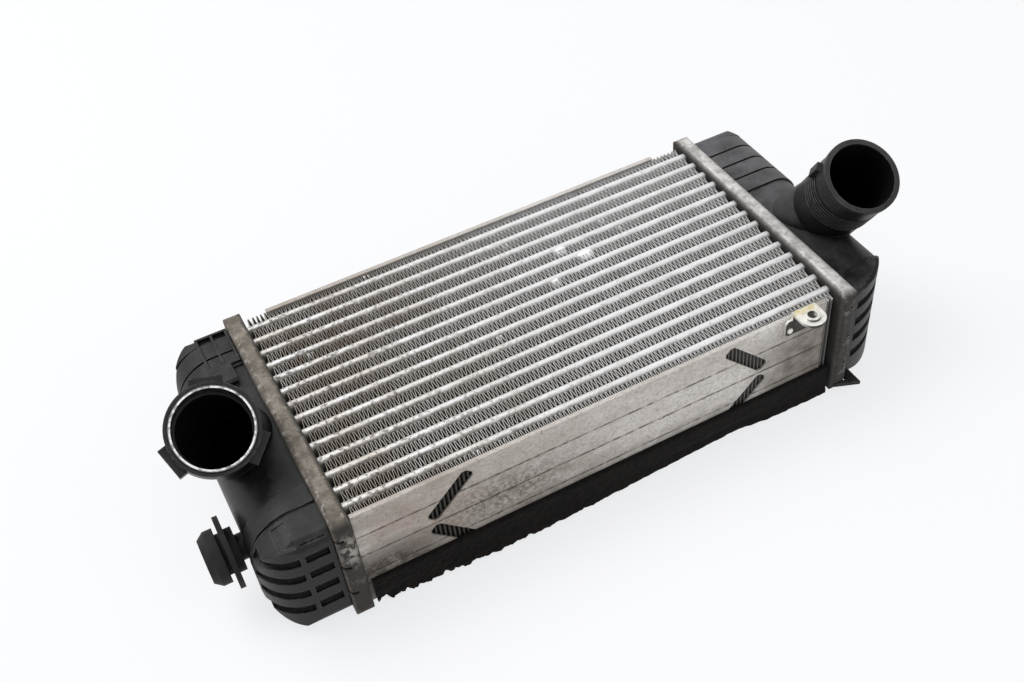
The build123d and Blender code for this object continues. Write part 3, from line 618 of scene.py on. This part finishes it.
# Foam seal strip with a foot that is torn at the left and smooth at the right.
foam = {
    "stations": 400, "around": 34,
    "foot": [(-170, 2.4, 0.4), (-130, 4.4, 0.4), (-85, 6.0, 0.4), (-40, 6.0, 0.4), (-10, 4.8, 0.4),
             (20, 3.6, 0.6), (50, 2.6, 1.0), (85, 2.0, 1.6), (100, 1.8, 2.4), (125, 3.6, 0.8),
             (175, 4.4, 0.4)],     # place along the strip, how far the foot stands out, and its lift, in mm
    "toe": [(1.0, 0.0), (0.97, 0.08), (0.7, 0.3)],      # share of the foot's reach, share of the height
    "wall": [(3.0, 0.55), (3.1, 0.94), (2.4, 1.0)],     # mm out, share of the height
    "sag": 1.2, "grip": 2.0,       # the back of the strip is held, and what is 2 mm out is loose
    "rough": 0.9, "roughSize": 3.2, "roughFade": 1.2, "roughLeft": 0.3, "roughLift": 0.5,
    "tear": 2.4, "tearSize": 7, "tearFade": 1.6, "tearLeft": 0.1, "tearLift": 1.5,
    "tearHeight": 0.3, "tearOctaves": 5, "tearMiddle": 0.45, "tearRow": 2,
}
foamLow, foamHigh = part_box("foam_strip")


def footAt(x):
    # how far the foot stands out and how high it hangs at this place, in metres
    stops = foam["foot"]
    k = max(k for k in range(len(stops) - 1) if stops[k][0] <= x / mm or k == 0)
    (x0, out0, lift0), (x1, out1, lift1) = stops[k:k + 2]
    t = (x / mm - x0) / (x1 - x0)
    return (out0 + (out1 - out0) * t) * mm, (lift0 + (lift1 - lift0) * t) * mm


def spreadAlong(outline, count):
    # points at even steps along a line of straight runs
    total = [0]
    for a, b in zip(outline, outline[1:]):
        total.append(total[-1] + math.dist(a, b))
    points = []
    for j in range(count):
        at = total[-1] * j / (count - 1)
        k = max(k for k in range(len(total) - 1) if total[k] <= at)
        t = (at - total[k]) / (total[k + 1] - total[k])
        points.append(Vector(outline[k]).lerp(Vector(outline[k + 1]), t))
    return points


def foamSection(share):
    # the strip's outline at this share of its length, roughened and torn
    x = foamLow.x + (foamHigh.x - foamLow.x) * share
    out, lift = footAt(x)
    top = foamHigh.z - foamLow.z - (1 - share) * foam["sag"] * mm
    height = top - lift
    outline = [(0, lift)]
    outline += [(-out * reach, lift + height * rise) for reach, rise in foam["toe"]]
    outline += [(-reach * mm, lift + height * rise) for reach, rise in foam["wall"]]
    outline += [(0, top)]
    torn = noise.turbulence(Vector((x / (foam["tearSize"] * mm), foam["tearRow"], 0)),
                            foam["tearOctaves"], False) - foam["tearMiddle"]
    torn *= foam["tear"] * mm * max(foam["tearLeft"], 1 - foam["tearFade"] * share)
    roughness = foam["rough"] * mm * max(foam["roughLeft"], 1 - foam["roughFade"] * share)
    points = []
    for y, z in spreadAlong(outline, foam["around"]):
        loose = min(1, -y / (foam["grip"] * mm))
        puff = noise.noise(Vector((x, y, z)) / (foam["roughSize"] * mm)) * roughness * loose
        ragged = torn * max(0, 1 - z / (height * foam["tearHeight"]))
        y = min(0, y + puff - ragged * loose)
        z += abs(puff) * foam["roughLift"] + max(0, -ragged) * foam["tearLift"]
        points.append((x, min(max(foamHigh.y + y, foamLow.y), foamHigh.y),
                       min(max(foamLow.z + z, foamLow.z), foamHigh.z)))
    return points


def buildFoam():
    mesh = bmesh.new()
    sections = [foamSection(i / foam["stations"]) for i in range(foam["stations"] + 1)]
    rings = [[mesh.verts.new(point) for point in section] for section in sections]
    for one, two in zip(rings, rings[1:]):
        for j in range(foam["around"]):
            k = (j + 1) % foam["around"]
            mesh.faces.new((one[j], one[k], two[k], two[j]))
    mesh.faces.new(rings[0])
    mesh.faces.new(list(reversed(rings[-1])))
    bmesh.ops.recalc_face_normals(mesh, faces=mesh.faces)
    data = bpy.data.meshes.new("foamStrip")
    mesh.to_mesh(data)
    mesh.free()
    data.materials.append(foamMaterial)
    piece = bpy.data.objects.new("foamStrip", data)
    scene.collection.objects.link(piece)
    return piece


foamStrip = buildFoam()
finishPiece(foamStrip, ["foam_strip"])
print("foam made")

# Round-headed rivet through the leg of the eyelet bracket: placed from the low front corner of the
# bracket's box and from its top, in mm.
rivets = {"inset": 3.4, "leg": 16.2, "below": 15.4, "radius": 2.2, "height": 1.5, "segments": 20,
          "rings": 12, "count": 1, "spacing": 20}
bracketLow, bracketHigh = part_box("eyelet_bracket")

tree, given = newTree("bracketRivet", {
    "Count": "NodeSocketInt", "First": "NodeSocketVector", "Spacing": "NodeSocketVector",
    "Radius": "NodeSocketFloat", "Height": "NodeSocketFloat", "Segments": "NodeSocketInt",
    "Rings": "NodeSocketInt"})
points = addNode(tree, "GeometryNodeMeshLine", {"mode": "OFFSET", "count_mode": "TOTAL"},
                 {"Count": given["Count"], "Start Location": given["First"], "Offset": given["Spacing"]})
head = addNode(tree, "GeometryNodeMeshUVSphere", {},
               {"Segments": given["Segments"], "Rings": given["Rings"], "Radius": given["Radius"]})
flat = addNode(tree, "ShaderNodeMath", {"operation": "DIVIDE"},
               {0: given["Height"], 1: given["Radius"]})
scale = addNode(tree, "ShaderNodeCombineXYZ", {}, {"X": 1.0, "Y": flat.outputs[0], "Z": 1.0})
placed = addNode(tree, "GeometryNodeInstanceOnPoints", {},
                 {"Points": points.outputs["Mesh"], "Instance": head.outputs["Mesh"],
                  "Scale": scale.outputs["Vector"]})
endTree(tree, placed.outputs["Instances"], rivetMaterial)
bracketRivets = growPiece("bracketRivets", tree, {
    "Count": rivets["count"],
    "First": (bracketLow.x + rivets["inset"] * mm, bracketLow.y + rivets["leg"] * mm,
              bracketHigh.z - rivets["below"] * mm),
    "Spacing": (rivets["spacing"] * mm, 0, 0), "Radius": rivets["radius"] * mm,
    "Height": rivets["height"] * mm, "Segments": rivets["segments"], "Rings": rivets["rings"]})
finishPiece(bracketRivets)
print("rivets made")

# Fine rings round the neck of the long port, which the hose grips: from the port's elbow along its
# axis, in mm, and the axis leans towards the front by the tilt, in degrees.
ridges = {"elbow": (220.05, -14.4, 86.1), "tilt": 32.7, "from": 27.0, "step": 2.9, "count": 6,
          "radius": 24.3, "proud": 0.8, "width": 1.3, "resolution": 72, "beadResolution": 8}
tree, given = newTree("hoseRidges", {
    "Count": "NodeSocketInt", "First": "NodeSocketVector", "Step": "NodeSocketVector",
    "Turn": "NodeSocketVector", "Radius": "NodeSocketFloat", "Bead Radius": "NodeSocketFloat",
    "Resolution": "NodeSocketInt", "Bead Resolution": "NodeSocketInt"})
points = addNode(tree, "GeometryNodeMeshLine", {"mode": "OFFSET", "count_mode": "TOTAL"},
                 {"Count": given["Count"], "Start Location": given["First"], "Offset": given["Step"]})
circle = addNode(tree, "GeometryNodeCurvePrimitiveCircle", {"mode": "RADIUS"},
                 {"Resolution": given["Resolution"], "Radius": given["Radius"]})
bead = addNode(tree, "GeometryNodeCurvePrimitiveCircle", {"mode": "RADIUS"},
               {"Resolution": given["Bead Resolution"], "Radius": given["Bead Radius"]})
ring = addNode(tree, "GeometryNodeCurveToMesh", {},
               {"Curve": circle.outputs["Curve"], "Profile Curve": bead.outputs["Curve"]})
placed = addNode(tree, "GeometryNodeInstanceOnPoints", {},
                 {"Points": points.outputs["Mesh"], "Instance": ring.outputs["Mesh"],
                  "Rotation": given["Turn"]})
endTree(tree, placed.outputs["Instances"], tankMaterial)
tilt = math.radians(ridges["tilt"])
portAxis = Vector((0, -math.sin(tilt), math.cos(tilt)))
beadRadius = ridges["width"] / 2
hoseRidges = growPiece("hoseRidges", tree, {
    "Count": ridges["count"], "First": (Vector(ridges["elbow"]) + portAxis * ridges["from"]) * mm,
    "Step": portAxis * ridges["step"] * mm, "Turn": (tilt, 0, 0),
    "Radius": (ridges["radius"] + ridges["proud"] - beadRadius) * mm, "Bead Radius": beadRadius * mm,
    "Resolution": ridges["resolution"], "Bead Resolution": ridges["beadResolution"]})
finishPiece(hoseRidges)
print("hose ridges made")


def seenDirectly(tree):
    # 1 for the rays that show the background itself: camera, glossy and transmission
    rays = addNode(tree, "ShaderNodeLightPath").outputs
    shown = addNode(tree, "ShaderNodeMath", {"operation": "MAXIMUM"},
                    {0: rays["Is Camera Ray"], 1: rays["Is Glossy Ray"]})
    return addNode(tree, "ShaderNodeMath", {"operation": "MAXIMUM"},
                   {0: shown.outputs[0], 1: rays["Is Transmission Ray"]}).outputs[0]


# Pale floor that keeps a light shadow: its reach is in metres, and it lies a little below the cooler,
# in mm. For the rays that show the background the floor is greyer and glows, and the room is full
# white, so the background is pale without more light on the cooler.
stage = {"matt": "f2f2f2", "mattSeen": "818181", "glow": 0.75, "glowColour": "fcfdff", "reach": 6.0,
         "below": 0.1, "room": 0.5, "roomSeen": 1.0, "roomColour": "ffffff"}
floorMaterial = bpy.data.materials.new("paleFloor")
floorMaterial.use_nodes = True
tree = floorMaterial.node_tree
tree.nodes.clear()
direct = seenDirectly(tree)
tint = addNode(tree, "ShaderNodeMix", {"data_type": "RGBA"},
               {"Factor": direct, 6: linearColour(stage["matt"]), 7: linearColour(stage["mattSeen"])})
matt = addNode(tree, "ShaderNodeBsdfDiffuse", {}, {"Color": tint.outputs[2]})
seen = addNode(tree, "ShaderNodeMath", {"operation": "MULTIPLY"}, {0: direct, 1: stage["glow"]})
glow = addNode(tree, "ShaderNodeEmission", {},
               {"Color": linearColour(stage["glowColour"]), "Strength": seen.outputs[0]})
both = addNode(tree, "ShaderNodeAddShader", {}, {0: matt.outputs["BSDF"], 1: glow.outputs["Emission"]})
addNode(tree, "ShaderNodeOutputMaterial", {}, {"Surface": both.outputs["Shader"]})

floorMesh = bpy.data.meshes.new("floor")
reach, floorZ = stage["reach"], -stage["below"] * mm
floorMesh.from_pydata([(-reach, -reach, floorZ), (reach, -reach, floorZ), (reach, reach, floorZ),
                       (-reach, reach, floorZ)], [], [(0, 1, 2, 3)])
floorMesh.materials.append(floorMaterial)
floor = bpy.data.objects.new("floor", floorMesh)
scene.collection.objects.link(floor)

# Soft studio light: a white room, a large lamp high over the back and a weaker one in front, placed
# and sized in metres.
world = bpy.data.worlds.new("whiteRoom")
scene.world = world
world.use_nodes = True
tree = world.node_tree
tree.nodes.clear()
strength = addNode(tree, "ShaderNodeMix", {},
                   {"Factor": seenDirectly(tree), 2: stage["room"], 3: stage["roomSeen"]})
back = addNode(tree, "ShaderNodeBackground", {},
               {"Color": linearColour(stage["roomColour"]), "Strength": strength.outputs[0]})
addNode(tree, "ShaderNodeOutputWorld", {}, {"Surface": back.outputs["Background"]})

lamps = {"keyLamp": {"place": (-0.9, 0.9, 2.2), "size": 1.6, "watts": 42},
         "fillLamp": {"place": (0.9, -1.9, 1.5), "size": 1.8, "watts": 14}}
for lampName, lamp in lamps.items():
    light = bpy.data.lights.new(lampName, "AREA")
    light.shape, light.size, light.energy = "SQUARE", lamp["size"], lamp["watts"]
    lampObject = bpy.data.objects.new(lampName, light)
    lampObject.location = lamp["place"]
    lampObject.rotation_euler = (-Vector(lamp["place"])).to_track_quat("-Z", "Y").to_euler()
    scene.collection.objects.link(lampObject)

camera = {"place": (-0.23419, -0.52316, 0.64333), "ahead": (0.271658, 0.650385, -0.709367),
          "right": (0.884518, -0.459194, -0.082279), "lens": 43.444, "sensor": 36, "near": 0.05, "far": 30}
cameraData = bpy.data.cameras.new("mainCamera")
cameraData.lens, cameraData.sensor_fit = camera["lens"], "HORIZONTAL"
cameraData.sensor_width = camera["sensor"]
cameraData.clip_start, cameraData.clip_end = camera["near"], camera["far"]
cameraObject = bpy.data.objects.new("mainCamera", cameraData)
ahead = Vector(camera["ahead"]).normalized()
right = Vector(camera["right"])
right = (right - ahead * right.dot(ahead)).normalized()
cameraObject.matrix_world = Matrix.Translation(camera["place"]) @ Matrix(
    (right, right.cross(ahead), -ahead)).transposed().to_4x4()
scene.collection.objects.link(cameraObject)
scene.camera = cameraObject
scene.view_settings.view_transform = "Standard"
print("floor, lamps and camera made")
